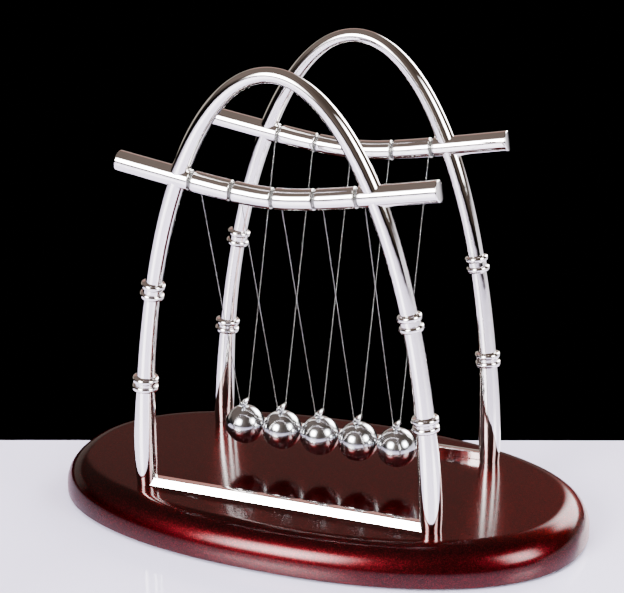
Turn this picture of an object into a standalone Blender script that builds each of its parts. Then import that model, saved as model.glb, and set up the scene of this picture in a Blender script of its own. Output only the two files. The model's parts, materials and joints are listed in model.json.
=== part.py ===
"""Newton's cradle: five steel balls on nylon lines, hung between two chromed arches on a lacquered oval base.

X runs along the row of balls, Y from front to rear, Z up. The underside of the pads is at z = 0. Metres.
"""
from math import atan2, cos, pi, radians, sin, sqrt

import bmesh
import bpy
from mathutils import Vector

# --- driving dimensions ------------------------------------------------------------------------------------
BASE_HALF_LENGTH = 0.0890
BASE_HALF_WIDTH = 0.0513
BASE_ROUNDNESS = 2.24        # exponent of the oval's superellipse: 2 is a plain ellipse
BASE_BOTTOM = 0.0008
BASE_TOP = 0.0130
BASE_WALL_TOP = 0.0032       # the wall is upright to here, then the shoulder rolls over
BASE_SHOULDER = 0.0090       # how far the shoulder rolls in
BASE_CHAMFER = 0.0004

ARCH_HALF_SPAN = 0.0486      # foot centres from the middle
ARCH_RISE = 0.1376           # centreline's height over the base
ARCH_FOOT_Y = 0.0288
ARCH_LEAN = 0.0346           # how far the arch leans out for each metre that it rises
# the tube's radius at heights over the base: thick at the foot, slim at the collars and the crown
TUBE_RADII = (
    (0.0000, 0.00310), (0.0025, 0.00345), (0.0085, 0.00368), (0.0200, 0.00352), (0.0310, 0.00312),
    (0.0360, 0.00295), (0.0520, 0.00276), (0.0670, 0.00264), (0.0840, 0.00278), (0.1045, 0.00300),
    (0.1240, 0.00268), (0.1376, 0.00232),
)

COLLARS = {  # height over the base, radius of the beads, distance between the two beads
    "upper": (0.0668, 0.00390, 0.0033),
    "lower": (0.0351, 0.00425, 0.0027),
}
COLLAR_BEAD_HALF = 0.0010
COLLAR_WAIST = 0.00050       # the waist between the beads stands this far off the tube

BAR_RADIUS = 0.00330
BAR_MIDDLE_Z = 0.1135
BAR_SAG_SCALE = 0.00255      # the bar hangs in a hyperbola: sag scale and width
BAR_SAG_WIDTH = 0.0140
BAR_HALF_LENGTH = 0.0511
BAR_CHAMFER = 0.0003
BAR_SEAMS = (0.0360, 0.0440) # extra rings either side of where the arch crosses
GROOVE_RADIUS = 0.00250
GROOVE_HALF = 0.00055
GROOVE_LIP = 0.00032         # the rounded lip at each side of a groove
GROOVE_LIP_DROP = 0.00020    # how low the lip's inner edge is
CROSSING_HEIGHT = 0.1045     # where the bar crosses the arch, over the base
BAR_LAP = (0.0255, 0.0375)   # the bar's seat in the arch, from and to
ARCH_LAP = 0.0100            # the arch's seat in the bar, either way along the leg

RAIL_HEIGHT = 0.0024
RAIL_FOOT_HALF = 0.00230     # the outer face leans in, from here at the foot ...
RAIL_TOP_HALF = 0.00120      # ... to here at the top
RAIL_INNER = 0.00120         # the inner face is upright
RAIL_BEVEL = 0.0002
RAIL_TUCK = 0.0010           # the rail stops this far short of the feet's centres

BALLS = 5
PITCH = 0.01337              # between hanging points
BALL_RADIUS = 0.00653
BALL_Z = 0.0257
EYELET_RADIUS = 0.00085
EYELET_BORE = 0.00045
EYELET_HALF = 0.0026
EYELET_RISE = 0.00115        # sleeve's axis over the top of the ball
STEM_RADIUS = 0.00080
STEM_DEPTH = 0.0024
LINE_RADIUS = 0.00013
LINE_MOUTH = 0.0002          # the line turns up between this far out of the sleeve ...
LINE_BEND = (0.00055, 0.00022)   # ... here, outward and up ...
LINE_FREE = (0.00078, 0.00070)   # ... and here, where it is straight
WRAP_HALF = 0.00039          # half the width of the turns in a groove
KNOT_RADIUS = 0.00050
KNOT_REACH = 0.00395         # knot's centre from the bar's axis, on the inner side

SCREW_SHANK = 0.00145
SCREW_HEAD = 0.0027
SCREW_HEAD_HEIGHT = 0.0018
SCREW_REACH = 0.0085         # into the foot
SCREW_TIP = 0.0008
CROSS_LONG, CROSS_SHORT, CROSS_DEPTH = 0.0013, 0.00035, 0.0009
COUNTERBORE_DEPTH = 0.0048
PAD_RADIUS = 0.0058
PAD_THICKNESS = 0.0020
PAD_RIM = 0.0004
PAD_X = 0.0640
PAD_Y = 0.0180

GAP = 0.0003
SNUG = 0.00015               # between parts that are fixed together
CUT_PAST = 0.0010            # how far a cutter runs out of the solid

TUBE_SIDES = 16
ARCH_STEPS = 48
CROWN_CROWDING = 0.16        # rings of the arch are closer together round the crown
OVAL_SIDES = 72
SIDES = {"front": -1, "rear": 1}
ENDS = {"left": -1, "right": 1}


# --- scene and materials -----------------------------------------------------------------------------------
for old in list(bpy.data.objects):
    bpy.data.objects.remove(old, do_unlink=True)


def material(name, colour, metallic, roughness):
    mat = bpy.data.materials.new(name)
    mat.use_nodes = True
    shader = mat.node_tree.nodes["Principled BSDF"]
    shader.inputs["Base Color"].default_value = (*colour, 1.0)
    shader.inputs["Metallic"].default_value = metallic
    shader.inputs["Roughness"].default_value = roughness
    mat.diffuse_color = (*colour, 1.0)
    return mat


LACQUER = material("burgundy_lacquer", (0.16, 0.004, 0.012), 0.4, 0.12)
CHROME = material("chrome_plate", (0.86, 0.85, 0.84), 1.0, 0.05)
STEEL = material("polished_steel", (0.72, 0.72, 0.73), 1.0, 0.08)
NYLON = material("clear_nylon", (0.80, 0.82, 0.84), 0.0, 0.30)
ZINC = material("zinc_screw", (0.58, 0.58, 0.56), 1.0, 0.35)
RUBBER = material("black_rubber", (0.02, 0.02, 0.02), 0.0, 0.85)


# --- modelling helpers -------------------------------------------------------------------------------------
def add_object(name, mesh, mat, origin=Vector((0, 0, 0))):
    mesh.materials.append(mat)
    obj = bpy.data.objects.new(name, mesh)
    obj.location = origin
    bpy.context.scene.collection.objects.link(obj)
    return obj


def loft(name, rings, mat, origin=Vector((0, 0, 0)), closed=False):
    """A closed solid through rings of points. closed joins the last ring to the first, as round a torus."""
    bm = bmesh.new()
    loops = [[bm.verts.new(p - origin) for p in ring] for ring in rings]
    pairs = list(zip(loops, loops[1:]))
    if closed:
        pairs.append((loops[-1], loops[0]))
    for low, high in pairs:
        for i in range(len(low)):
            j = (i + 1) % len(low)
            bm.faces.new((low[i], low[j], high[j], high[i]))
    if not closed:
        bm.faces.new(list(reversed(loops[0])))
        bm.faces.new(loops[-1])
    bmesh.ops.recalc_face_normals(bm, faces=bm.faces)
    mesh = bpy.data.meshes.new(name)
    bm.to_mesh(mesh)
    bm.free()
    return add_object(name, mesh, mat, origin)


def circle(centre, across, up, radius, sides=TUBE_SIDES, start=0.0, turn=2 * pi):
    """Points on a circle or an arc. A full circle leaves out its last point."""
    full = abs(turn - 2 * pi) < 1e-9
    count = sides if full else sides + 1
    angles = [start + turn * i / sides for i in range(count)]
    return [centre + across * (radius * cos(a)) + up * (radius * sin(a)) for a in angles]


def frame_of(direction):
    """Two unit vectors across a direction."""
    direction = direction.normalized()
    helper = Vector((0, 0, 1)) if abs(direction.z) < 0.9 else Vector((1, 0, 0))
    across = direction.cross(helper).normalized()
    return across, direction.cross(across)


def turned(name, centre, direction, profile, mat, sides=TUBE_SIDES, origin=Vector((0, 0, 0)), closed=False):
    """A turned solid: profile is (distance along the axis, radius). closed makes a ring round the axis."""
    across, up = frame_of(direction)
    along = direction.normalized()
    rings = [circle(centre + along * h, across, up, r, sides) for h, r in profile]
    return loft(name, rings, mat, origin, closed)


def ball_solid(name, centre, radius, steps, sides, mat, origin=Vector((0, 0, 0))):
    """A round ball whose poles are single points."""
    bm = bmesh.new()
    bmesh.ops.create_uvsphere(bm, u_segments=sides, v_segments=steps, radius=radius)
    bmesh.ops.translate(bm, verts=bm.verts, vec=centre - origin)
    mesh = bpy.data.meshes.new(name)
    bm.to_mesh(mesh)
    bm.free()
    return add_object(name, mesh, mat, origin)


def cut(obj, *cutters):
    """Cuts closed solids out of obj."""
    for cutter in cutters:
        cutter.hide_render = True
        cutter.display_type = "WIRE"
        cutter.name = "cutter_" + cutter.name
        mod = obj.modifiers.new("cut_" + cutter.name, "BOOLEAN")
        mod.operation = "DIFFERENCE"
        mod.solver = "EXACT"
        mod.object = cutter


def join(obj, *others):
    """Adds closed solids to obj, and hides them as it does a cutter."""
    for other in others:
        other.hide_render = True
        other.display_type = "WIRE"
        other.name = "cutter_" + other.name
        mod = obj.modifiers.new("join_" + other.name, "BOOLEAN")
        mod.operation = "UNION"
        mod.solver = "EXACT"
        mod.object = other


def peg(name, x, y, low, high, radius, mat=ZINC, sides=TUBE_SIDES):
    return turned(name, Vector((x, y, 0)), Vector((0, 0, 1)), ((low, radius), (high, radius)), mat, sides)


# --- where things are --------------------------------------------------------------------------------------
def plane_y(side, z):
    """Y of an arch's leaning plane at a height."""
    return SIDES[side] * (ARCH_FOOT_Y + ARCH_LEAN * (z - BASE_TOP))


def arch_centre(side, angle):
    """The arch is a half ellipse: angle 0 is the right foot, pi/2 the crown, pi the left foot."""
    z = BASE_TOP + ARCH_RISE * sin(angle)
    return Vector((ARCH_HALF_SPAN * cos(angle), plane_y(side, z), z))


def arch_tangent(side, angle):
    rise = ARCH_RISE * cos(angle)
    return Vector((-ARCH_HALF_SPAN * sin(angle), SIDES[side] * ARCH_LEAN * rise, rise)).normalized()


def arch_normal(side):
    """Across the arch's plane, pointing away from the balls."""
    return Vector((0, SIDES[side], -ARCH_LEAN)).normalized()


def tube_radius(height):
    """Eases between the listed radii."""
    for (low, r_low), (high, r_high) in zip(TUBE_RADII, TUBE_RADII[1:]):
        if height <= high:
            part = max(0.0, (height - low) / (high - low))
            return r_low + (r_high - r_low) * part
    return TUBE_RADII[-1][1]


def arch_angle(height, end):
    """The arch's angle at a height over the base."""
    angle = atan2(height, sqrt(ARCH_RISE ** 2 - height ** 2))
    return angle if end == "right" else pi - angle


def bar_point(side, x):
    z = BAR_MIDDLE_Z + BAR_SAG_SCALE * (sqrt(1 + (x / BAR_SAG_WIDTH) ** 2) - 1)
    return Vector((x, plane_y(side, z), z))


def bar_tangent(side, x):
    step = 0.0001
    return (bar_point(side, x + step) - bar_point(side, x - step)).normalized()


def bar_ring(side, x, radius, sides=TUBE_SIDES, start=0.0, turn=2 * pi, shift=0.0):
    out = arch_normal(side)
    up = bar_tangent(side, x).cross(out)
    return circle(bar_point(side, x) + out * shift, out, up, radius, sides, start, turn)


def arch_ring(side, angle, radius, start=0.0, turn=2 * pi, shift=0.0):
    out = arch_normal(side)
    up = arch_tangent(side, angle).cross(out)
    return circle(arch_centre(side, angle) + out * shift, out, up, radius, TUBE_SIDES, start, turn)


def hang_x(number):
    return PITCH * (number - (BALLS + 1) / 2)


def pivot(side, number):
    """Where a line leaves its knot, on the bar's inner side."""
    on_bar = bar_point(side, hang_x(number))
    return on_bar - Vector((0, SIDES[side] * KNOT_REACH, 0))


# --- base, pads and screws ---------------------------------------------------------------------------------
def oval(inset, z):
    half_x = BASE_HALF_LENGTH - inset
    half_y = BASE_HALF_WIDTH - inset
    power = 2 / BASE_ROUNDNESS
    ring = []
    for i in range(OVAL_SIDES):
        angle = 2 * pi * i / OVAL_SIDES
        c, s = cos(angle), sin(angle)
        x = half_x * abs(c) ** power * (1 if c > 0 else -1)
        y = half_y * abs(s) ** power * (1 if s > 0 else -1)
        ring.append(Vector((x, y, z)))
    return ring


def shoulder(angle):
    inset = BASE_SHOULDER * (1 - cos(angle))
    return oval(inset, BASE_WALL_TOP + (BASE_TOP - BASE_WALL_TOP) * sin(angle))


def make_base():
    rings = [oval(BASE_CHAMFER, BASE_BOTTOM), oval(0, BASE_BOTTOM + BASE_CHAMFER)]
    rings += [shoulder(radians(a)) for a in (0, 14, 28, 42, 56, 70, 80, 90)]
    base = loft("base", rings, LACQUER)
    for side, y_sign in SIDES.items():
        for end, x_sign in ENDS.items():
            place = f"{side}_{end}"
            x, y = x_sign * ARCH_HALF_SPAN, y_sign * ARCH_FOOT_Y
            bore_top = BASE_BOTTOM + COUNTERBORE_DEPTH
            cut(
                base,
                peg("screw_bore_" + place, x, y, -CUT_PAST, BASE_TOP + CUT_PAST, SCREW_SHANK + GAP),
                peg("head_bore_" + place, x, y, -CUT_PAST, bore_top, SCREW_HEAD + GAP),
                peg("pad_recess_" + place, x_sign * PAD_X, y_sign * PAD_Y, -CUT_PAST,
                    PAD_THICKNESS + SNUG, PAD_RADIUS + GAP, RUBBER, 24),
            )
            make_screw(place, x, y, bore_top)
            turned("foot_pad_" + place, Vector((x_sign * PAD_X, y_sign * PAD_Y, 0)), Vector((0, 0, 1)),
                   ((0, PAD_RADIUS - PAD_RIM), (PAD_RIM, PAD_RADIUS), (PAD_THICKNESS, PAD_RADIUS)),
                   RUBBER, 24)


def make_screw(place, x, y, bore_top):
    """A pan-head screw from underneath, up into the arch's foot, with a cross recess."""
    head_top = bore_top - SNUG
    head_low = head_top - SCREW_HEAD_HEIGHT
    tip = BASE_TOP + SCREW_REACH
    profile = (
        (head_low, SCREW_HEAD * 0.55), (head_low + 0.0004, SCREW_HEAD * 0.88),
        (head_low + 0.0010, SCREW_HEAD), (head_top, SCREW_HEAD), (head_top, SCREW_SHANK),
        (tip - SCREW_TIP, SCREW_SHANK), (tip, SCREW_SHANK * 0.5),
    )
    screw = turned("leg_screw_" + place, Vector((x, y, 0)), Vector((0, 0, 1)), profile, ZINC, 14)
    for name, long_x, long_y in (("slot", CROSS_LONG, CROSS_SHORT), ("cross", CROSS_SHORT, CROSS_LONG)):
        low, high = head_low - CUT_PAST, head_low + CROSS_DEPTH
        corners = ((-1, -1), (1, -1), (1, 1), (-1, 1))
        rings = [[Vector((x + a * long_x, y + b * long_y, z)) for a, b in corners] for z in (low, high)]
        cut(screw, loft(f"{name}_{place}", rings, ZINC))


# --- the two side frames -----------------------------------------------------------------------------------
HALF = {"start": -pi / 2, "turn": pi}          # the outer half of a ring
OTHER_HALF = {"start": pi / 2, "turn": pi}     # the inner half of a ring


def make_arch(side):
    """A bent tube from foot to foot. Its inner half is notched where the crossbar is lapped into it."""
    rings = []
    for i in range(ARCH_STEPS + 1):
        even = pi * i / ARCH_STEPS
        angle = even + CROWN_CROWDING * sin(2 * even)
        point = arch_centre(side, angle)
        rings.append(arch_ring(side, angle, tube_radius(point.z - BASE_TOP)))
    # the tube leans, so its first ring does too: lifted clear of the base by the tilt and a snug gap
    lift = Vector((0, 0, SNUG + TUBE_RADII[0][1] * ARCH_LEAN))
    rings[0] = [p + lift for p in rings[0]]
    rings[-1] = [p + lift for p in rings[-1]]
    arch = loft(side + "_arch", rings, CHROME)
    for end, x_sign in ENDS.items():
        place = f"{side}_{end}"
        start, end_x = BAR_LAP
        stretch = [x_sign * (start + (end_x - start) * i / 6) for i in range(7)]
        lap = [bar_ring(side, x, BAR_RADIUS + SNUG, start=OTHER_HALF["start"], turn=OTHER_HALF["turn"],
                        shift=SNUG / 2) for x in stretch]
        hole = peg("foot_hole_" + place, x_sign * ARCH_HALF_SPAN, SIDES[side] * ARCH_FOOT_Y,
                   BASE_TOP - CUT_PAST, BASE_TOP + SCREW_REACH + GAP, SCREW_SHANK + GAP)
        cut(arch, loft("bar_lap_" + place, lap, CHROME), hole)


def bar_profile():
    """(x, radius) along the bar: flat ends, and a ring groove at each hanging point."""
    stations = [(-BAR_HALF_LENGTH, BAR_RADIUS - BAR_CHAMFER), (-BAR_HALF_LENGTH + BAR_CHAMFER, BAR_RADIUS)]
    plain = [-x for x in reversed(BAR_SEAMS)]
    for number in range(1, BALLS + 1):
        middle = hang_x(number)
        wide = GROOVE_HALF + GROOVE_LIP
        drop = BAR_RADIUS - GROOVE_LIP_DROP
        stations += [(x, BAR_RADIUS) for x in plain]
        stations += [
            (middle - wide, BAR_RADIUS), (middle - GROOVE_HALF, drop), (middle - GROOVE_HALF, GROOVE_RADIUS),
            (middle + GROOVE_HALF, GROOVE_RADIUS), (middle + GROOVE_HALF, drop), (middle + wide, BAR_RADIUS),
        ]
        plain = [middle + PITCH / 2]
    stations += [(x, BAR_RADIUS) for x in BAR_SEAMS]
    stations += [(BAR_HALF_LENGTH - BAR_CHAMFER, BAR_RADIUS), (BAR_HALF_LENGTH, BAR_RADIUS - BAR_CHAMFER)]
    return stations


def make_crossbar(side):
    """The bowed bar. Its outer half is notched where the arch is lapped over it."""
    bar = loft(side + "_crossbar", [bar_ring(side, x, r) for x, r in bar_profile()], CHROME)
    for end in ENDS:
        angles = [arch_angle(CROSSING_HEIGHT + ARCH_LAP * i / 2, end) for i in range(-2, 3)]
        lap = []
        for angle in angles:
            height = arch_centre(side, angle).z - BASE_TOP
            lap.append(arch_ring(side, angle, tube_radius(height) + SNUG, HALF["start"], HALF["turn"],
                                 -SNUG / 2))
        cut(bar, loft(f"arch_lap_{side}_{end}", lap, CHROME))


def make_rail(side):
    """The low rail between the two feet, hollowed at its ends to sit against them."""
    y = SIDES[side] * ARCH_FOOT_Y
    low = BASE_TOP + SNUG
    b = RAIL_BEVEL
    section = [(RAIL_FOOT_HALF - b, 0), (RAIL_FOOT_HALF, b), (RAIL_TOP_HALF, RAIL_HEIGHT - b),
               (RAIL_TOP_HALF - b, RAIL_HEIGHT), (b - RAIL_INNER, RAIL_HEIGHT),
               (-RAIL_INNER, RAIL_HEIGHT - b), (-RAIL_INNER, b), (b - RAIL_INNER, 0)]
    reach = ARCH_HALF_SPAN - RAIL_TUCK
    rings = [[Vector((x, y + SIDES[side] * dy, low + dz)) for dy, dz in section] for x in (-reach, reach)]
    rail = loft(side + "_rail", rings, CHROME)
    for end, x_sign in ENDS.items():
        cut(rail, peg(f"rail_end_{side}_{end}", x_sign * ARCH_HALF_SPAN, y, BASE_TOP - CUT_PAST,
                      BASE_TOP + RAIL_HEIGHT + CUT_PAST, tube_radius(RAIL_HEIGHT) + GAP))


def make_collar(side, end, level):
    """A sleeve with two round beads and a waist between them, pushed on to the leg."""
    height, bead_radius, spacing = COLLARS[level]
    angle = arch_angle(height, end)
    bore = tube_radius(height) + SNUG
    waist = tube_radius(height) + COLLAR_WAIST
    profile = []
    for bead in (-spacing / 2, spacing / 2):
        for degrees in (-90, -45, 0, 45, 90):
            turn = radians(degrees)
            profile.append((bead + COLLAR_BEAD_HALF * sin(turn), waist + (bead_radius - waist) * cos(turn)))
    half = spacing / 2 + COLLAR_BEAD_HALF
    profile += [(half, bore), (-half, bore)]
    direction = arch_tangent(side, angle)
    if direction.z < 0:
        direction = -direction
    name = f"collar_{side}_{end}_{level}"
    turned(name, arch_centre(side, angle), direction, profile, CHROME, 20, closed=True)


# --- balls, eyelets and lines ------------------------------------------------------------------------------
def line_route(number):
    """From the front knot, through the eyelet's bore, to the rear knot."""
    x = hang_x(number)
    sleeve_z = BALL_Z + BALL_RADIUS + EYELET_RISE
    half = []
    for side in ("front", "rear"):
        sign = SIDES[side]
        top = pivot(side, number)
        mouth = Vector((x, sign * (EYELET_HALF + LINE_MOUTH), sleeve_z))
        bend = Vector((x, sign * (EYELET_HALF + LINE_BEND[0]), sleeve_z + LINE_BEND[1]))
        free = Vector((x, sign * (EYELET_HALF + LINE_FREE[0]), sleeve_z + LINE_FREE[1]))
        start = top + (free - top).normalized() * (KNOT_RADIUS + SNUG)
        half.append([start, start.lerp(free, 0.5), free, bend, mouth])
    return half[0] + list(reversed(half[1]))


def tube_along(name, route, radius, sides, mat, origin):
    rings = []
    for i, point in enumerate(route):
        before = route[max(i - 1, 0)]
        after = route[min(i + 1, len(route) - 1)]
        direction = (after - before).normalized()
        across = Vector((1, 0, 0))
        rings.append(circle(point, across, direction.cross(across), radius, sides))
    return loft(name, rings, mat, origin)


def make_pendulum(number):
    """A ball with a blind hole on top, the eyelet pressed into it, and the line that it hangs on."""
    x = hang_x(number)
    origin = Vector((x, 0, pivot("front", number).z))
    ball_top = BALL_Z + BALL_RADIUS
    ball = ball_solid(f"ball_{number}", Vector((x, 0, BALL_Z)), BALL_RADIUS, 14, 24, STEEL, origin)
    cut(ball, peg(f"stem_hole_{number}", x, 0, ball_top - STEM_DEPTH - GAP, ball_top + CUT_PAST,
                  STEM_RADIUS + SNUG, STEEL, 12))
    sleeve_z = ball_top + EYELET_RISE
    eyelet = turned(f"eyelet_{number}", Vector((x, 0, sleeve_z)), Vector((0, 1, 0)),
                    ((-EYELET_HALF, EYELET_RADIUS), (EYELET_HALF, EYELET_RADIUS)), STEEL, 14, origin)
    join(eyelet, peg(f"stem_{number}", x, 0, ball_top - STEM_DEPTH, sleeve_z, STEM_RADIUS, STEEL, 12))
    reach = EYELET_HALF + CUT_PAST
    cut(eyelet, turned(f"bore_{number}", Vector((x, 0, sleeve_z)), Vector((0, 1, 0)),
                       ((-reach, EYELET_BORE), (reach, EYELET_BORE)), STEEL, 12))
    tube_along(f"line_{number}", line_route(number), LINE_RADIUS, 6, NYLON, origin)


def make_hanging(side, number):
    """The turns of line in the bar's groove, and the knot that the ball swings from."""
    x = hang_x(number)
    inner = GROOVE_RADIUS + SNUG
    outer = inner + 2 * LINE_RADIUS
    half = WRAP_HALF
    ease = LINE_RADIUS
    profile = ((-half, inner), (-half, outer - ease), (-half + ease, outer), (half - ease, outer),
               (half, outer - ease), (half, inner))
    turned(f"line_wrap_{side}_{number}", bar_point(side, x), bar_tangent(side, x), profile, NYLON, 14,
           closed=True)
    centre = pivot(side, number)
    ball_solid(f"knot_{side}_{number}", centre, KNOT_RADIUS, 6, 8, NYLON, centre)


make_base()
for side in SIDES:
    make_arch(side)
    make_crossbar(side)
    make_rail(side)
    for end in ENDS:
        for level in COLLARS:
            make_collar(side, end, level)
for number in range(1, BALLS + 1):
    make_pendulum(number)
    for side in SIDES:
        make_hanging(side, number)
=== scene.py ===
import json
from math import atan2, cos, pi, radians, sin, sqrt, tan

import bmesh
import bpy
import numpy as np
from mathutils import Matrix, Vector


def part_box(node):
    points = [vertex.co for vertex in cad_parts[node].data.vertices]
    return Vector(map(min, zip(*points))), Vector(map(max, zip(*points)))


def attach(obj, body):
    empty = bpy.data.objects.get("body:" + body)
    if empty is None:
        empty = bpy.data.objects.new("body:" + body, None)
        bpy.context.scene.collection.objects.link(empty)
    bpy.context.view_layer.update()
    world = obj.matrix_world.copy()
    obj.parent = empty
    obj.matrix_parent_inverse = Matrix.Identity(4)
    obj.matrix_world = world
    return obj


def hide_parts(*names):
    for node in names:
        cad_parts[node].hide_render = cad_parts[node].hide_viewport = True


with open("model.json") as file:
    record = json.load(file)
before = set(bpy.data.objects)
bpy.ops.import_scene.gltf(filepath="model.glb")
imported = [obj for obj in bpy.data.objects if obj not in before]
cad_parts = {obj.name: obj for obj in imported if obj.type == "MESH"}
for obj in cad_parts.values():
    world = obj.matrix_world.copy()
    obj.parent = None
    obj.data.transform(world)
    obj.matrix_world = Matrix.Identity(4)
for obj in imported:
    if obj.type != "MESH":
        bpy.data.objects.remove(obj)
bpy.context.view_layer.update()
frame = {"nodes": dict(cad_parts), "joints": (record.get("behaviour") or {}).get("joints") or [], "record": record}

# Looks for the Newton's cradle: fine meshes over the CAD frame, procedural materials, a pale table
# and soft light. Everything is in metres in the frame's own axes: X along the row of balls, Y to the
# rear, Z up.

UP = Vector((0, 0, 1))

# --- sizes that the frame doesn't give, the same as in the CAD ------------------------------------
BASE_ROUNDNESS = 2.24
BASE_WALL_TOP = 0.0032
BASE_SHOULDER = 0.0090
BASE_CHAMFER = 0.0004
TUBE_RADII = (  # (height over the base, radius) of the arch's tube
    (0.0000, 0.00310), (0.0025, 0.00345), (0.0085, 0.00368), (0.0200, 0.00352), (0.0310, 0.00312),
    (0.0360, 0.00295), (0.0520, 0.00276), (0.0670, 0.00264), (0.0840, 0.00278), (0.1045, 0.00300),
    (0.1240, 0.00268), (0.1376, 0.00232),
)
ARCH_LEAN = 0.0346
CROWN_CROWDING = 0.16        # draws the rings of the arch together at its crown
BAR_RADIUS = 0.00330
BAR_SAG_SCALE = 0.00255
BAR_SAG_WIDTH = 0.0140
GROOVE_RADIUS = 0.00250
GROOVE_HALF = 0.00055
GROOVE_LIP = 0.00032
RAIL_FOOT_HALF = 0.00230
RAIL_TOP_HALF = 0.00120
RAIL_INNER = 0.00120
COUNTERBORE_DEPTH = 0.0048
SCREW_HEAD = 0.0027
COLLARS = {  # height over the base, radius of the beads, distance between the two beads
    "upper": (0.0668, 0.00390, 0.0033),
    "lower": (0.0351, 0.00425, 0.0027),
}
COLLAR_BEAD_HALF = 0.0010
COLLAR_WAIST = 0.00050
EYELET_RADIUS = 0.00085
EYELET_BORE = 0.00045
STEM_RADIUS = 0.0008
LINE_RADIUS = 0.00013
KNOT_RADIUS = 0.00050
GAP = 0.0003
SNUG = 0.00015               # between parts that are fixed together
CUT_PAST = 0.0010            # how far a cutter runs out of the solid
SIDES = {"front": -1, "rear": 1}
ENDS = {"left": -1, "right": 1}
BALLS = 5

# --- fine detail that only the looks have ---------------------------------------------------------
CREASE = 35                  # degrees; an edge that turns more than this is sharp
TUBE_EASING = 0.0030         # the arch's radius is an average over this far either way
PAD_RIM = 0.0005
PAD_DISH = 0.00012
BAR_END_ROLL = 0.0004
BAR_STATION_GAP = 0.0008
GROOVE_CORNER = 0.0001
RAIL_SOFTENING = 0.00018
RAIL_END_INSET = 0.0005      # the ends stop inside the legs
COLLAR_FLANGE = 0.0002
EYELET_EDGE = 0.00018
WRAP_TURNS = 3
WRAP_LIFT = 0.0007           # how far the last turn's end stands off the bar
KNOT_SCALE = 0.000125

# --- places, worked out from the frame ------------------------------------------------------------
base_low, base_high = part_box("base")
BASE_TOP = base_high.z
BASE_BOTTOM = base_low.z
HALF_LENGTH = base_high.x
HALF_WIDTH = base_high.y
ARCH_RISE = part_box("rear_arch")[1].z - TUBE_RADII[-1][1] - BASE_TOP
screw_low, screw_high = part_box("leg_screw_rear_right")
ARCH_HALF_SPAN = (screw_low.x + screw_high.x) / 2
ARCH_FOOT_Y = (screw_low.y + screw_high.y) / 2
BAR_HALF_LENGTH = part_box("rear_crossbar")[1].x
HANG = {j["child"]: Vector(j["pos_m"]) for j in frame["joints"] if j["type"] == "hinge"}
BODIES = frame["record"]["behaviour"]["bodies"]
BODY_OF = {node: body for body, nodes in BODIES.items() for node in nodes}
BAR_MIDDLE_Z = HANG["ball_3"].z
ball_low, ball_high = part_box("ball_3")
BALL_RADIUS = (ball_high.z - ball_low.z) / 2
BALL_Z = ball_low.z + BALL_RADIUS


def hang_x(number):
    return HANG[f"ball_{number}"].x


def plane_y(side, z):
    """Each side frame stands in a plane that leans outwards a little."""
    return SIDES[side] * (ARCH_FOOT_Y + ARCH_LEAN * (z - BASE_TOP))


def arch_centre(side, angle):
    z = BASE_TOP + ARCH_RISE * sin(angle)
    return Vector((ARCH_HALF_SPAN * cos(angle), plane_y(side, z), z))


def arch_tangent(side, angle):
    rise = ARCH_RISE * cos(angle)
    return Vector((-ARCH_HALF_SPAN * sin(angle), SIDES[side] * ARCH_LEAN * rise, rise)).normalized()


def arch_normal(side):
    return Vector((0, SIDES[side], -ARCH_LEAN)).normalized()


def arch_angle(height, end):
    angle = atan2(height, sqrt(ARCH_RISE ** 2 - height ** 2))
    return angle if end == "right" else pi - angle


def tube_radius(height):
    """Eases smoothly through the listed radii."""
    heights = [h for h, _ in TUBE_RADII]
    radii = [r for _, r in TUBE_RADII]
    spread = np.linspace(-TUBE_EASING, TUBE_EASING, 7)
    return float(np.mean(np.interp(height + spread, heights, radii)))


def bar_point(side, x):
    z = BAR_MIDDLE_Z + BAR_SAG_SCALE * (sqrt(1 + (x / BAR_SAG_WIDTH) ** 2) - 1)
    return Vector((x, plane_y(side, z), z))


def bar_tangent(side, x):
    step = 0.0001
    return (bar_point(side, x + step) - bar_point(side, x - step)).normalized()


def knot_place(side, number):
    low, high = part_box(f"knot_{side}_{number}")
    return (low + high) / 2


# --- node helpers ---------------------------------------------------------------------------------
def ramp(tree, source, low, high, start, end, smooth=False):
    """Maps low..high to start..end, held at both ends."""
    node = tree.nodes.new("ShaderNodeMapRange")
    if smooth:
        node.interpolation_type = "SMOOTHSTEP"
    for key, number in (("From Min", low), ("From Max", high), ("To Min", start), ("To Max", end)):
        node.inputs[key].default_value = number
    tree.links.new(source, node.inputs["Value"])
    return node.outputs["Result"]


def smooth_ramp(tree, source, low, high, start, end):
    return ramp(tree, source, low, high, start, end, smooth=True)


def mixed(tree, factor, low, high):
    """A colour between low and high, each a tuple or another node's output."""
    node = tree.nodes.new("ShaderNodeMix")
    node.data_type = "RGBA"
    tree.links.new(factor, node.inputs["Factor"])
    for name, value in (("A", low), ("B", high)):
        socket = [s for s in node.inputs if s.name == name and s.type == "RGBA"][0]
        if isinstance(value, tuple):
            socket.default_value = (*value, 1.0)
        else:
            tree.links.new(value, socket)
    return [s for s in node.outputs if s.type == "RGBA"][0]


def product(tree, *factors):
    """Multiplies node outputs together."""
    total = factors[0]
    for factor in factors[1:]:
        node = tree.nodes.new("ShaderNodeMath")
        node.operation = "MULTIPLY"
        tree.links.new(total, node.inputs[0])
        tree.links.new(factor, node.inputs[1])
        total = node.outputs["Value"]
    return total


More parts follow.
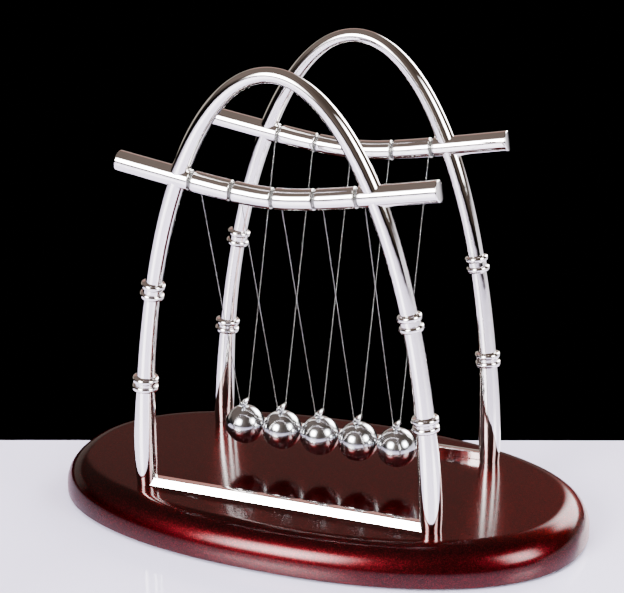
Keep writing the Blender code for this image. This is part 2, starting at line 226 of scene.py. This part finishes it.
class Nodes:
    """A small wrapper that makes a material's nodes and links them."""

    def __init__(self, name):
        self.material = bpy.data.materials.new(name)
        self.material.use_nodes = True
        self.tree = self.material.node_tree
        self.shader = self.tree.nodes["Principled BSDF"]
        self.place = self.add("ShaderNodeTexCoord").outputs["Object"]

    def add(self, kind):
        return self.tree.nodes.new(kind)

    def link(self, source, target):
        self.tree.links.new(source, target)

    def set(self, **values):
        """Sets the shader's constant sockets: names have _ for spaces."""
        for key, value in values.items():
            self.shader.inputs[key.replace("_", " ")].default_value = value

    def drive(self, socket, source):
        """Links a node's output to one of the shader's sockets."""
        self.link(source, self.shader.inputs[socket])

    def noise(self, scale, detail=2.0, roughness=0.5, stretch=(1, 1, 1)):
        mapping = self.add("ShaderNodeMapping")
        mapping.inputs["Scale"].default_value = stretch
        self.link(self.place, mapping.inputs["Vector"])
        noise = self.add("ShaderNodeTexNoise")
        noise.inputs["Scale"].default_value = scale
        noise.inputs["Detail"].default_value = detail
        noise.inputs["Roughness"].default_value = roughness
        self.link(mapping.outputs["Vector"], noise.inputs["Vector"])
        return noise.outputs["Fac"]

    def span(self, value, from_low, from_high, to_low, to_high):
        return ramp(self.tree, value, from_low, from_high, to_low, to_high)

    def mix_colour(self, factor, low, high):
        return mixed(self.tree, factor, low, high)

    def bump(self, height, strength, distance, after=None):
        node = self.add("ShaderNodeBump")
        node.inputs["Strength"].default_value = strength
        node.inputs["Distance"].default_value = distance
        self.link(height, node.inputs["Height"])
        if after is not None:
            self.link(after, node.inputs["Normal"])
        return node.outputs["Normal"]


# --- materials ------------------------------------------------------------------------------------
def make_chrome():
    """Bright plating over a casting: a mirror with faint waves and a little haze."""
    n = Nodes("chrome_plate")
    n.set(Metallic=1.0)
    patches = n.span(n.noise(90, 3), 0.35, 0.65, 0, 1)
    n.drive("Base Color", n.mix_colour(patches, (0.94, 0.90, 0.885), (0.88, 0.84, 0.82)))
    n.drive("Roughness", n.span(n.noise(260, 4, 0.6), 0.35, 0.75, 0.020, 0.070))
    waves = n.bump(n.noise(170, 1.5), 0.08, 0.0006)
    n.drive("Normal", n.bump(n.noise(2600, 2), 0.04, 0.00005, waves))
    return n.material


def make_steel():
    """Ground and polished steel: greyer than the chrome, with fine turning marks round the upright axis."""
    n = Nodes("polished_steel")
    n.set(Metallic=1.0)
    patches = n.span(n.noise(400, 4), 0.3, 0.7, 0, 1)
    n.drive("Base Color", n.mix_colour(patches, (0.70, 0.70, 0.72), (0.58, 0.59, 0.61)))
    marks = n.noise(700, 5, 0.7, stretch=(0.25, 0.25, 9))
    n.drive("Roughness", n.span(marks, 0.35, 0.7, 0.10, 0.21))
    n.drive("Normal", n.bump(marks, 0.12, 0.00003))
    return n.material


def make_lacquer():
    """Burgundy metallic paint: fine flakes in a dark red coat, under a clear gloss coat."""
    n = Nodes("burgundy_lacquer")
    n.set(Metallic=1.0, Specular_Tint=(0.45, 0.015, 0.03, 1))
    n.set(Coat_Weight=0.5, Coat_Roughness=0.12, Coat_IOR=1.5)
    flakes = n.add("ShaderNodeTexVoronoi")
    flakes.inputs["Scale"].default_value = 3600
    n.link(n.place, flakes.inputs["Vector"])
    glint = n.add("ShaderNodeSeparateColor")
    n.link(flakes.outputs["Color"], glint.inputs["Color"])
    cloud = n.span(n.noise(45, 3), 0.3, 0.7, 0, 1)
    deep = n.mix_colour(cloud, (0.026, 0.00012, 0.0010), (0.036, 0.0002, 0.0014))
    shine = n.span(glint.outputs["Red"], 0.5, 1.0, 0.0, 0.6)
    n.drive("Base Color", n.mix_colour(shine, deep, (0.16, 0.0030, 0.0090)))
    n.drive("Roughness", n.span(glint.outputs["Blue"], 0, 1, 0.27, 0.37))
    n.drive("Normal", n.bump(glint.outputs["Green"], 0.06, 0.00004))
    n.drive("Coat Normal", n.bump(n.noise(120, 2), 0.02, 0.0004))
    return n.material


def make_nylon():
    """Clear fishing line, a little cloudy."""
    n = Nodes("clear_nylon")
    n.set(Transmission_Weight=0.75, IOR=1.45)
    n.drive("Base Color", n.mix_colour(n.noise(1500, 2), (0.27, 0.27, 0.26), (0.38, 0.38, 0.36)))
    n.drive("Roughness", n.span(n.noise(4000, 2), 0.3, 0.7, 0.08, 0.22))
    return n.material


def make_zinc():
    """Dull plated screws."""
    n = Nodes("zinc_screw")
    n.set(Metallic=1.0)
    n.drive("Base Color", n.mix_colour(n.noise(1800, 3), (0.50, 0.50, 0.47), (0.66, 0.66, 0.64)))
    n.drive("Roughness", n.span(n.noise(3500, 3), 0.3, 0.7, 0.28, 0.50))
    return n.material


def make_rubber():
    """Matt black rubber with a fine grain."""
    n = Nodes("black_rubber")
    n.drive("Base Color", n.mix_colour(n.noise(700, 4), (0.016, 0.016, 0.017), (0.034, 0.033, 0.032)))
    n.drive("Roughness", n.span(n.noise(2200, 3), 0.3, 0.7, 0.65, 0.88))
    n.drive("Normal", n.bump(n.noise(5200, 2), 0.35, 0.00008))
    return n.material


CHROME = make_chrome()
STEEL = make_steel()
LACQUER = make_lacquer()
NYLON = make_nylon()
ZINC = make_zinc()
RUBBER = make_rubber()


# --- mesh helpers ---------------------------------------------------------------------------------
def shade(mesh, crease):
    mesh.shade_smooth()
    mesh.set_sharp_from_angle(angle=radians(crease))


def add_piece(name, verts, faces, material, crease=CREASE):
    mesh = bpy.data.meshes.new(name)
    mesh.from_pydata([tuple(v) for v in verts], [], faces)
    mesh.validate()
    mesh.materials.append(material)
    shade(mesh, crease)
    obj = bpy.data.objects.new(name, mesh)
    bpy.context.scene.collection.objects.link(obj)
    return obj


def lofted(rings, closed=False):
    """Vertices and faces of a solid through rings of points, with flat ends or closed into a loop."""
    count = len(rings[0])
    verts = [p for ring in rings for p in ring]
    faces = []
    for i in range(len(rings) if closed else len(rings) - 1):
        low = i * count
        high = (i + 1) % len(rings) * count
        for j in range(count):
            k = (j + 1) % count
            faces.append((low + j, low + k, high + k, high + j))
    if not closed:
        faces.append(tuple(reversed(range(count))))
        faces.append(tuple(range(len(verts) - count, len(verts))))
    return verts, faces


def ring_of(centre, across, up, radius, sides):
    ring = []
    for i in range(sides):
        turn = 2 * pi * i / sides
        ring.append(centre + across * (radius * cos(turn)) + up * (radius * sin(turn)))
    return ring


def frame_of(direction):
    """Two directions square to the given one."""
    direction = direction.normalized()
    helper = UP if abs(direction.z) < 0.9 else Vector((1, 0, 0))
    across = direction.cross(helper).normalized()
    return across, direction.cross(across)


def turned(centre, direction, profile, sides, closed=False):
    """A turned solid: profile lists (distance along the axis from centre, radius)."""
    across, up = frame_of(direction)
    along = direction.normalized()
    rings = [ring_of(centre + along * h, across, up, r, sides) for h, r in profile]
    return lofted(rings, closed)


def tube(route, radius, sides):
    """A round tube along a route of points, with its rings kept from twisting."""
    last = len(route) - 1
    directions = [(route[min(i + 1, last)] - route[max(i - 1, 0)]).normalized() for i in range(len(route))]
    across, _ = frame_of(directions[0])
    rings = []
    for point, direction in zip(route, directions):
        across = (across - direction * across.dot(direction)).normalized()
        rings.append(ring_of(point, across, direction.cross(across), radius, sides))
    return lofted(rings)


def merged(*solids):
    """One mesh from several (verts, faces) pairs, each numbered from 0."""
    verts, faces = [], []
    for more_verts, more_faces in solids:
        shift = len(verts)
        verts += more_verts
        faces += [tuple(i + shift for i in face) for face in more_faces]
    return verts, faces


def quarter(radius):
    """A rounded edge as (distance from the end face, depth under the surface), from the end face in."""
    turns = [radians(a) for a in range(90, -1, -15)]
    return [(radius * (1 - sin(t)), radius * (1 - cos(t))) for t in turns]


def outward(obj):
    """Turns every face of a closed mesh outwards."""
    bm = bmesh.new()
    bm.from_mesh(obj.data)
    bmesh.ops.recalc_face_normals(bm, faces=bm.faces)
    bm.to_mesh(obj.data)
    bm.free()


def sink(obj, centre, radius, top):
    """Cuts a round recess into the underside."""
    profile = ((-CUT_PAST, radius), (top, radius))
    cutter = add_piece("cutter", *turned(centre, UP, profile, sides=64), obj.data.materials[0])
    outward(cutter)
    mod = obj.modifiers.new("sink", "BOOLEAN")
    mod.operation = "DIFFERENCE"
    mod.solver = "EXACT"
    mod.object = cutter
    graph = bpy.context.evaluated_depsgraph_get()
    mesh = bpy.data.meshes.new_from_object(obj.evaluated_get(graph))
    obj.modifiers.clear()
    obj.data = mesh
    bpy.data.objects.remove(cutter)


def finish_piece(obj, node):
    """The piece stands for one CAD node: it takes that node's place and body."""
    outward(obj)
    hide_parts(node)
    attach(obj, BODY_OF[node])


# --- base, pads and screws ------------------------------------------------------------------------
def oval(inset, z, sides=288):
    """The base's outline, a rounded oval, drawn in by inset."""
    power = 2 / BASE_ROUNDNESS
    angle = np.linspace(0, 2 * pi, sides, endpoint=False)
    x = (HALF_LENGTH - inset) * np.sign(np.cos(angle)) * np.abs(np.cos(angle)) ** power
    y = (HALF_WIDTH - inset) * np.sign(np.sin(angle)) * np.abs(np.sin(angle)) ** power
    return [Vector((a, b, z)) for a, b in zip(x, y)]


def base_rings():
    """A softened bottom edge, an upright wall, and a quarter-round shoulder up to the flat top."""
    rings = []
    for degrees in range(0, 91, 30):
        turn = radians(degrees)
        rings.append(oval(BASE_CHAMFER * (1 - sin(turn)), BASE_BOTTOM + BASE_CHAMFER * (1 - cos(turn))))
    for degrees in range(0, 91, 3):
        turn = radians(degrees)
        z = BASE_WALL_TOP + (BASE_TOP - BASE_WALL_TOP) * sin(turn)
        rings.append(oval(BASE_SHOULDER * (1 - cos(turn)), z))
    return rings


def make_base():
    crease = 50
    base = add_piece("lacquered_base", *lofted(base_rings()), LACQUER, crease=crease)
    outward(base)
    for side, y_sign in SIDES.items():
        for end, x_sign in ENDS.items():
            foot = Vector((x_sign * ARCH_HALF_SPAN, y_sign * ARCH_FOOT_Y, 0))
            sink(base, foot, SCREW_HEAD + GAP, BASE_BOTTOM + COUNTERBORE_DEPTH)
            seat_pad(base, f"{side}_{end}")
    shade(base.data, crease)
    finish_piece(base, "base")


def seat_pad(base, place):
    """A recess with a little clearance, and the pad in it."""
    low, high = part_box("foot_pad_" + place)
    middle = (low + high) / 2
    centre = Vector((middle.x, middle.y, 0))
    radius = (high.x - low.x) / 2
    sink(base, centre, radius + GAP, high.z + SNUG)
    make_pad(place, centre, radius, high.z)


def make_pad(place, centre, radius, height):
    """A disc, faintly dished underneath, with a rounded lower rim."""
    dish_middle, dish_edge, flat_edge = 0.0012, radius - 0.0020, radius - 0.0016
    profile = [(PAD_DISH, dish_middle), (PAD_DISH, dish_edge), (0.0, flat_edge)]
    for degrees in range(0, 91, 15):
        turn = radians(degrees)
        profile.append((PAD_RIM * (1 - cos(turn)), radius - PAD_RIM * (1 - sin(turn))))
    profile.append((height, radius))
    pad = add_piece("rubber_pad_" + place, *turned(centre, UP, profile, sides=64), RUBBER)
    finish_piece(pad, "foot_pad_" + place)


def dress_screws():
    """The screws keep their CAD meshes and only get a material."""
    for name, node in frame["nodes"].items():
        if name.startswith("leg_screw"):
            node.data.materials.clear()
            node.data.materials.append(ZINC)


# --- the side frames ------------------------------------------------------------------------------
def make_arch(side):
    out = arch_normal(side)
    rings = []
    steps = 220
    for i in range(steps + 1):
        even = pi * i / steps
        angle = even + CROWN_CROWDING * sin(2 * even)
        centre = arch_centre(side, angle)
        up = arch_tangent(side, angle).cross(out)
        rings.append(ring_of(centre, out, up, tube_radius(centre.z - BASE_TOP), sides=48))
    arch = add_piece(f"{side}_arch_tube", *lofted(rings), CHROME)
    finish_piece(arch, side + "_arch")


def plain_stations(start, end):
    """Even stations between two places along the bar, so that it bends smoothly."""
    count = max(2, int((end - start) / BAR_STATION_GAP))
    return [(start + (end - start) * i / count, BAR_RADIUS) for i in range(1, count)]


def groove_stations(middle):
    """Down a rounded lip, across the floor with its softened corners, and up the other lip."""
    lip = quarter(GROOVE_LIP)
    low, high = middle - GROOVE_HALF, middle + GROOVE_HALF
    stations = [(low - dx, BAR_RADIUS - depth) for dx, depth in reversed(lip)]
    stations += [(low, GROOVE_RADIUS + GROOVE_CORNER), (low + GROOVE_CORNER, GROOVE_RADIUS)]
    stations += [(high - GROOVE_CORNER, GROOVE_RADIUS), (high, GROOVE_RADIUS + GROOVE_CORNER)]
    stations += [(high + dx, BAR_RADIUS - depth) for dx, depth in lip]
    return stations


def bar_profile():
    """(x, radius): flat ends with a rolled edge, and a groove at each hanging point."""
    left_end = [(-BAR_HALF_LENGTH + dx, BAR_RADIUS - depth) for dx, depth in quarter(BAR_END_ROLL)]
    stations = list(left_end)
    for number in range(1, BALLS + 1):
        groove = groove_stations(hang_x(number))
        stations += plain_stations(stations[-1][0], groove[0][0])
        stations += groove
    stations += plain_stations(stations[-1][0], -left_end[-1][0])
    stations += [(-x, radius) for x, radius in reversed(left_end)]
    return stations


def make_crossbar(side):
    out = arch_normal(side)
    rings = []
    for x, radius in bar_profile():
        up = bar_tangent(side, x).cross(out)
        rings.append(ring_of(bar_point(side, x), out, up, radius, sides=56))
    bar = add_piece(f"{side}_bowed_bar", *lofted(rings), CHROME)
    finish_piece(bar, side + "_crossbar")


def make_rail(side):
    """A low rail: the outer face leans in, the inner one is upright, and the top edges are softened."""
    low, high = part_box(side + "_rail")
    sign = SIDES[side]
    inner = low.y if sign > 0 else high.y
    middle = inner + sign * RAIL_INNER
    soft = RAIL_SOFTENING
    outer_edge = [(0.35, 1.0), (0.0, 0.4), (-0.4, 0.1), (-1.0, 0.0)]
    section = [(RAIL_FOOT_HALF, low.z)]
    section += [(RAIL_TOP_HALF + soft * a, high.z - soft * b) for a, b in outer_edge]
    section += [(soft - RAIL_INNER, high.z), (-RAIL_INNER, high.z - soft), (-RAIL_INNER, low.z)]
    reach = ARCH_HALF_SPAN - RAIL_END_INSET
    rings = []
    for x in np.linspace(-reach, reach, 60):
        rings.append([Vector((x, middle + sign * y, z)) for y, z in section])
    rail = add_piece(f"{side}_foot_rail", *lofted(rings), CHROME, crease=25)
    finish_piece(rail, side + "_rail")


def collar_profile(tube_r, bead_radius, spacing):
    """Two round beads on a thin sleeve, as (distance along the leg, radius)."""
    waist = tube_r + COLLAR_WAIST
    profile = []
    for bead in (-spacing / 2, spacing / 2):
        for degrees in range(-90, 91, 10):
            turn = radians(degrees)
            profile.append((bead + COLLAR_BEAD_HALF * sin(turn), waist + (bead_radius - waist) * cos(turn)))
    end = spacing / 2 + COLLAR_BEAD_HALF + COLLAR_FLANGE
    outer = tube_r + 0.00015
    bore = tube_r - 0.0004
    profile += [(end, outer), (end, bore), (-end, bore), (-end, outer)]
    return profile


def make_collar(side, end, level):
    height, bead_radius, spacing = COLLARS[level]
    angle = arch_angle(height, end)
    direction = arch_tangent(side, angle)
    if direction.z < 0:
        direction = -direction
    profile = collar_profile(tube_radius(height), bead_radius, spacing)
    solid = turned(arch_centre(side, angle), direction, profile, sides=64, closed=True)
    name = f"{side}_{end}_{level}"
    collar = add_piece("beads_" + name, *solid, CHROME)
    finish_piece(collar, "collar_" + name)


# --- balls, eyelets and lines ---------------------------------------------------------------------
def make_ball(number):
    centre = Vector((hang_x(number), 0, BALL_Z))
    steps = 72
    pole = BALL_RADIUS * 0.004
    profile = []
    for i in range(steps + 1):
        turn = pi * i / steps
        profile.append((-BALL_RADIUS * cos(turn), max(pole, BALL_RADIUS * sin(turn))))
    ball = add_piece(f"steel_ball_{number}", *turned(centre, UP, profile, sides=112), STEEL)
    finish_piece(ball, f"ball_{number}")


def sleeve_place(number):
    """The middle of the eyelet's sleeve and half its length."""
    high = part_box(f"eyelet_{number}")[1]
    return Vector((hang_x(number), 0, high.z - EYELET_RADIUS)), high.y


def make_eyelet(number):
    """A short cross sleeve with softened rims, on a stem that goes down into the ball."""
    centre, half = sleeve_place(number)
    edge = EYELET_EDGE
    outer = [(-half, EYELET_BORE + edge), (-half, EYELET_RADIUS - edge)]
    outer += [(-half + edge, EYELET_RADIUS), (half - edge, EYELET_RADIUS)]
    outer += [(half, EYELET_RADIUS - edge), (half, EYELET_BORE + edge)]
    inner = [(half - edge, EYELET_BORE), (-half + edge, EYELET_BORE)]
    sleeve = turned(centre, Vector((0, 1, 0)), outer + inner, sides=40, closed=True)
    foot = Vector((centre.x, 0, 0))
    ball_top = BALL_Z + BALL_RADIUS
    profile = [(ball_top - 0.0010, STEM_RADIUS), (centre.z - EYELET_BORE - 0.0001, STEM_RADIUS)]
    stem = turned(foot, UP, profile, sides=40)
    eyelet = add_piece(f"ball_eyelet_{number}", *merged(sleeve, stem), STEEL, crease=50)
    finish_piece(eyelet, f"eyelet_{number}")


def half_route(side, number):
    """From near the knot down a straight strand, then a small bend into the sleeve's mouth."""
    centre, half = sleeve_place(number)
    sign = SIDES[side]
    top = knot_place(side, number)
    inside, outside, bend_length = 0.0003, 0.00045, 0.0008
    mouth = Vector((centre.x, sign * (half - inside), centre.z))
    corner = Vector((centre.x, sign * (half + outside), centre.z))
    rising = corner + (top - corner).normalized() * bend_length
    start = top + (rising - top).normalized() * (KNOT_RADIUS * 0.5)
    strand = [start.lerp(rising, i / 24) for i in range(24)]
    bend = []
    for i in range(9):
        t = i / 8
        bend.append(rising * (1 - t) ** 2 + corner * (2 * t * (1 - t)) + mouth * t ** 2)
    return strand + bend


def make_line(number):
    """One taut line from the front knot through the eyelet to the rear knot."""
    route = half_route("front", number) + list(reversed(half_route("rear", number)))
    line = add_piece(f"nylon_line_{number}", *tube(route, LINE_RADIUS, sides=12), NYLON)
    finish_piece(line, f"line_{number}")


def make_wrap(side, number):
    """Turns of line laid side by side in the groove, the last one lifting out towards the knot."""
    x = hang_x(number)
    centre = bar_point(side, x)
    along = bar_tangent(side, x)
    inward = -arch_normal(side)
    up = along.cross(inward)
    radius = GROOVE_RADIUS + LINE_RADIUS
    reach = GROOVE_HALF - LINE_RADIUS * 1.15
    steps = 44
    total = WRAP_TURNS * steps
    lift_from, settle_from = 0.955, 0.94
    route = []
    for i in range(total + 1):
        part = i / total
        angle = 2 * pi * (i - total) / steps
        lift = max(0.0, (part - lift_from) / (1 - lift_from)) * WRAP_LIFT
        shift = (part - 0.5) * 2 * reach * (1 if part < settle_from else 0.9)
        route.append(centre + along * shift + (inward * cos(angle) + up * sin(angle)) * (radius + lift))
    wrap = add_piece(f"line_turns_{side}_{number}", *tube(route, LINE_RADIUS, sides=10), NYLON)
    finish_piece(wrap, f"line_wrap_{side}_{number}")


def knot_loop(centre, steps=96):
    """A trefoil, which is what an overhand knot is when its ends are joined."""
    route = []
    for i in range(steps):
        t = 2 * pi * i / steps
        trefoil = Vector((sin(t) + 2 * sin(2 * t), -sin(3 * t) * 1.3, cos(t) - 2 * cos(2 * t)))
        route.append(trefoil * KNOT_SCALE + centre)
    rings = []
    for i, point in enumerate(route):
        direction = (route[(i + 1) % steps] - route[i - 1]).normalized()
        across = direction.cross(point - centre).normalized()
        rings.append(ring_of(point, across, direction.cross(across), LINE_RADIUS, sides=10))
    return lofted(rings, closed=True)


def knot_tail(centre, side, number):
    """The cut end of the line, hanging a little to one side."""
    lean = 1 if number % 2 else -1
    end = centre + Vector((lean * 0.0007, -SIDES[side] * 0.0004, -0.0016))
    steps = 6
    route = []
    for i in range(steps + 1):
        droop = Vector((0, 0, -0.0002 * sin(pi * i / steps)))
        route.append(centre.lerp(end, i / steps) + droop)
    return tube(route, LINE_RADIUS * 0.9, sides=8)


def make_knot(side, number):
    """A small overhand knot with its cut tail."""
    centre = knot_place(side, number)
    solid = merged(knot_loop(centre), knot_tail(centre, side, number))
    piece = add_piece(f"overhand_knot_{side}_{number}", *solid, NYLON)
    finish_piece(piece, f"knot_{side}_{number}")


# --- the camera -----------------------------------------------------------------------------------
CAMERA_AZIMUTH = radians(23.3)
CAMERA_ELEVATION = radians(18.35)
CAMERA_ROLL = radians(-0.68)
CAMERA_DISTANCE = 0.5776
CAMERA_AIM = Vector((-0.00217, 0.0, 0.07287))
CAMERA_SENSOR = 36.0         # mm, the width
CAMERA_LENS = 104.9135       # mm


def make_camera():
    a, e, r = CAMERA_AZIMUTH, CAMERA_ELEVATION, CAMERA_ROLL
    back = Vector((sin(a) * cos(e), -cos(a) * cos(e), sin(e)))
    level = Vector((cos(a), sin(a), 0))
    up = back.cross(level)
    right = level * cos(r) + up * sin(r)
    top = up * cos(r) - level * sin(r)
    data = bpy.data.cameras.new("camera")
    data.sensor_width = CAMERA_SENSOR
    data.lens = CAMERA_LENS
    data.clip_start, data.clip_end = 0.01, 20.0
    camera = bpy.data.objects.new("camera", data)
    place = CAMERA_AIM + back * CAMERA_DISTANCE
    camera.matrix_world = Matrix((
        (right.x, top.x, back.x, place.x),
        (right.y, top.y, back.y, place.y),
        (right.z, top.z, back.z, place.z),
        (0, 0, 0, 1),
    ))
    bpy.context.scene.collection.objects.link(camera)
    bpy.context.scene.camera = camera


# --- table, world and lights ----------------------------------------------------------------------
def make_table():
    """A pale glossy table top whose far edge is just behind the cradle, level in the picture."""
    a = CAMERA_AZIMUTH - radians(1.85)
    across = Vector((cos(a), sin(a), 0))
    away = Vector((-sin(a), cos(a), 0))
    rear, front, half, thickness = 0.0562, -3.0, 3.0, 0.018
    corners = [(-half, front), (half, front), (half, rear), (-half, rear)]
    verts = [across * u + away * v + Vector((0, 0, z)) for z in (-thickness, 0) for u, v in corners]
    faces = [(3, 2, 1, 0), (4, 5, 6, 7), (0, 1, 5, 4), (1, 2, 6, 5), (2, 3, 7, 6), (3, 0, 4, 7)]
    n = Nodes("pale_table")
    n.set(Coat_Weight=0.8, Coat_Roughness=0.05)
    n.drive("Base Color", n.mix_colour(n.noise(6, 3), (0.78, 0.735, 0.96), (0.82, 0.775, 1.0)))
    n.drive("Roughness", n.span(n.noise(30, 3), 0.3, 0.7, 0.34, 0.46))
    add_piece("table", verts, faces, n.material)


def bearing(tree, direction, azimuth, edge, full):
    """1 near an azimuth, falling to 0; edge and full are cosines of the angle off it."""
    flat = tree.nodes.new("ShaderNodeVectorMath")
    flat.operation = "MULTIPLY"
    flat.inputs[1].default_value = (1, 1, 0)
    tree.links.new(direction, flat.inputs[0])
    unit = tree.nodes.new("ShaderNodeVectorMath")
    unit.operation = "NORMALIZE"
    tree.links.new(flat.outputs["Vector"], unit.inputs[0])
    dot = tree.nodes.new("ShaderNodeVectorMath")
    dot.operation = "DOT_PRODUCT"
    dot.inputs[1].default_value = (sin(azimuth), -cos(azimuth), 0)
    tree.links.new(unit.outputs["Vector"], dot.inputs[0])
    return smooth_ramp(tree, dot.outputs["Value"], edge, full, 0, 1)


def room_colour(tree, height, right):
    """Warm walls, dimmer to the right, dark low on the left, and black below the horizon."""
    black, dim, wall = (0, 0, 0), (0.075, 0.056, 0.045), (0.20, 0.16, 0.14)
    room = mixed(tree, smooth_ramp(tree, right, -0.1, 0.7, 0, 1), wall, dim)
    left = mixed(tree, smooth_ramp(tree, height, 0.15, 0.50, 0.02, 1), black, room)
    lit = mixed(tree, smooth_ramp(tree, right, -0.75, -0.40, 0, 1), left, room)
    return mixed(tree, smooth_ramp(tree, height, 0.0, 0.10, 0, 1), black, lit)


def make_world():
    """A studio room with a pale sweep low on the right, and a pale band and a reddish drape behind."""
    world = bpy.data.worlds.new("studio")
    bpy.context.scene.world = world
    world.use_nodes = True
    tree = world.node_tree
    direction = tree.nodes.new("ShaderNodeTexCoord").outputs["Generated"]
    split = tree.nodes.new("ShaderNodeSeparateXYZ")
    tree.links.new(direction, split.inputs["Vector"])
    height = split.outputs["Z"]
    shown = room_colour(tree, height, split.outputs["X"])
    sweep = product(tree, bearing(tree, direction, radians(122), 0.76, 0.88),
                    smooth_ramp(tree, height, 0.02, 0.14, 1, 0))
    shown = mixed(tree, sweep, shown, (1.5, 1.45, 1.6))
    horizon = product(tree, bearing(tree, direction, radians(200), 0.30, 0.60),
                      smooth_ramp(tree, height, 0.0, 0.02, 0, 1), smooth_ramp(tree, height, 0.24, 0.32, 1, 0))
    shown = mixed(tree, horizon, shown, (0.60, 0.54, 0.48))
    drape = product(tree, bearing(tree, direction, radians(203), 0.91, 0.97),
                    smooth_ramp(tree, height, 0.30, 0.36, 0, 1), smooth_ramp(tree, height, 0.50, 0.58, 1, 0))
    shown = mixed(tree, drape, shown, (0.66, 0.32, 0.28))
    tree.links.new(shown, tree.nodes["Background"].inputs["Color"])


def fade_edges(data, soft, low_rim):
    """Fades a panel out over its soft rim, and over low_rim along its lower edge, as shares of its size."""
    data.use_nodes = True
    tree = data.node_tree
    split = tree.nodes.new("ShaderNodeSeparateXYZ")
    tree.links.new(tree.nodes.new("ShaderNodeNewGeometry").outputs["Parametric"], split.inputs["Vector"])
    fades = []
    for axis, start, end in (("X", 0.0, soft / 2), ("X", 1.0, 1.0 - soft / 2),
                             ("Y", 0.0, low_rim), ("Y", 1.0, 1.0 - soft / 2)):
        fades.append(smooth_ramp(tree, split.outputs[axis], start, end, 0, 1))
    tree.links.new(product(tree, *fades), tree.nodes["Emission"].inputs["Strength"])


def make_softbox(name, azimuth, elevation, wide, high, brightness, colour=(1, 1, 1), soft=0.7, low_rim=0.12):
    """A light panel facing the cradle. Azimuth 0 is in front and 90 to the right; wide and high are the
    angles that it fills as seen from the cradle, in degrees."""
    distance, middle = 1.4, Vector((0, 0, 0.05))
    a, e = radians(azimuth), radians(elevation)
    direction = Vector((sin(a) * cos(e), -cos(a) * cos(e), sin(e)))
    data = bpy.data.lights.new(name, "AREA")
    data.shape = "RECTANGLE"
    data.size = 2 * distance * tan(radians(wide) / 2)
    data.size_y = 2 * distance * tan(radians(high) / 2)
    data.energy = brightness * data.size * data.size_y
    data.color = colour
    fade_edges(data, soft, low_rim)
    light = bpy.data.objects.new(name, data)
    light.location = middle + direction * distance
    light.rotation_mode = "QUATERNION"
    light.rotation_quaternion = direction.to_track_quat("Z", "Y")
    bpy.context.scene.collection.objects.link(light)
    return light


# --- the cradle and its stage ---------------------------------------------------------------------
make_base()
dress_screws()
for side in SIDES:
    make_arch(side)
    make_crossbar(side)
    make_rail(side)
    for end in ENDS:
        for level in COLLARS:
            make_collar(side, end, level)
for number in range(1, BALLS + 1):
    make_ball(number)
    make_eyelet(number)
    make_line(number)
    for side in SIDES:
        make_wrap(side, number)
        make_knot(side, number)

make_camera()
make_table()
make_world()
make_softbox("front_left", -19, 26, 38, 38, 195, soft=1.0, low_rim=0.4)
make_softbox("right", 77, 28, 36, 36, 95, soft=0.9, low_rim=0.25)
make_softbox("rear_right", 162, 25, 46, 36, 70)
fill = make_softbox("table_fill", 0, 80, 60, 60, 26, colour=(0.97, 0.95, 1.0))
fill.visible_glossy = False
